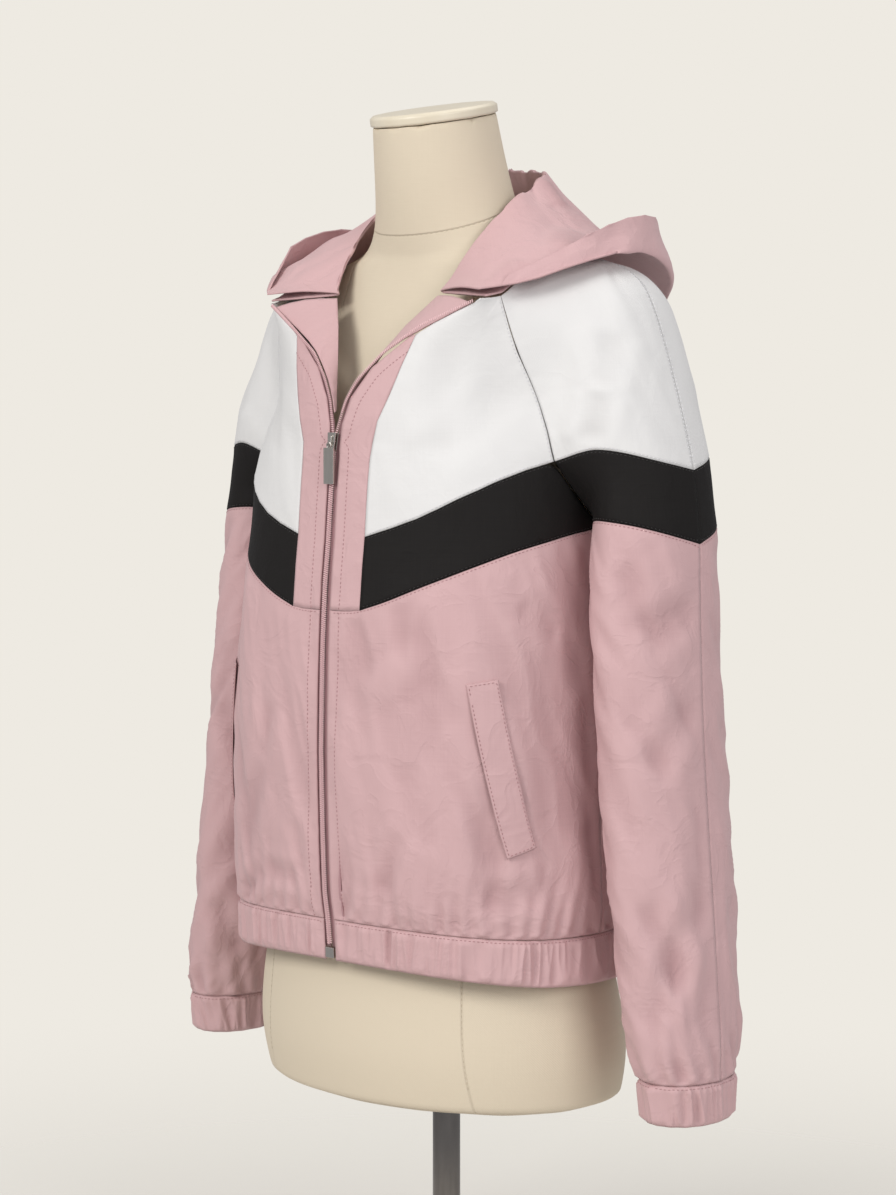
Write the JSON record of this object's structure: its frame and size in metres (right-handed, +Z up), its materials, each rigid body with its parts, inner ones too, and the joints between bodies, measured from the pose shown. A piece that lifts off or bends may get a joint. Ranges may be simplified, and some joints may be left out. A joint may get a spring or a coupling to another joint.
{
  "type": "windbreaker jacket on a dress form",
  "caption": "Hooded zip-front windbreaker jacket with raglan sleeves and a contrast chest band, worn by a limbless dress form on a stand.",
  "frame": {"origin": "middle of the base plate's underside, on the surface it stands on", "axes": "+Z up, the jacket's front faces -Y, +X is the wearer's left"},
  "size_m": [0.53, 0.31, 1.0157],
  "materials": {
    "pink_cloth": "matt woven polyester",
    "white_cloth": "matt woven polyester",
    "black_cloth": "matt woven polyester",
    "zip_tape": "ribbed tape",
    "nickel": "polished nickel",
    "form_cloth": "linen cover",
    "cap_paint": "satin",
    "steel": "polished"
  },
  "bodies": {
    "jacket_and_form": {"back_band": "black_cloth", "back_lower": "pink_cloth", "back_yoke": "white_cloth", "base": "steel", "cuff_left": "pink_cloth", "cuff_right": "pink_cloth", "facing_left": "pink_cloth", "facing_right": "pink_cloth", "form_torso": "form_cloth", "front_band_left": "black_cloth", "front_band_right": "black_cloth", "front_lower_left": "pink_cloth", "front_lower_right": "pink_cloth", "front_yoke_left": "white_cloth", "front_yoke_right": "white_cloth", "hem_band": "pink_cloth", "hood_left": "pink_cloth", "hood_right": "pink_cloth", "neck_cap": "cap_paint", "placket_left": "pink_cloth", "placket_right": "pink_cloth", "pocket_welt_left": "pink_cloth", "pocket_welt_right": "pink_cloth", "pole": "steel", "sleeve_band_back_left": "black_cloth", "sleeve_band_back_right": "black_cloth", "sleeve_band_front_left": "black_cloth", "sleeve_band_front_right": "black_cloth", "sleeve_lower_back_left": "pink_cloth", "sleeve_lower_back_right": "pink_cloth", "sleeve_lower_front_left": "pink_cloth", "sleeve_lower_front_right": "pink_cloth", "sleeve_upper_back_left": "white_cloth", "sleeve_upper_back_right": "white_cloth", "sleeve_upper_front_left": "white_cloth", "sleeve_upper_front_right": "white_cloth", "zip_slider": "nickel", "zip_stop": "nickel", "zip_tape_left": "zip_tape", "zip_tape_right": "zip_tape"},
    "pull_tab": {"zip_pull": "nickel"}
  },
  "joints": [
    {"name": "pull_tab_hinge", "type": "hinge", "parent": "jacket_and_form", "child": "pull_tab", "pos_m": [0, -0.1322, 0.7525], "axis": [-1, 0, 0], "range_deg": [0, 150]}
  ]
}
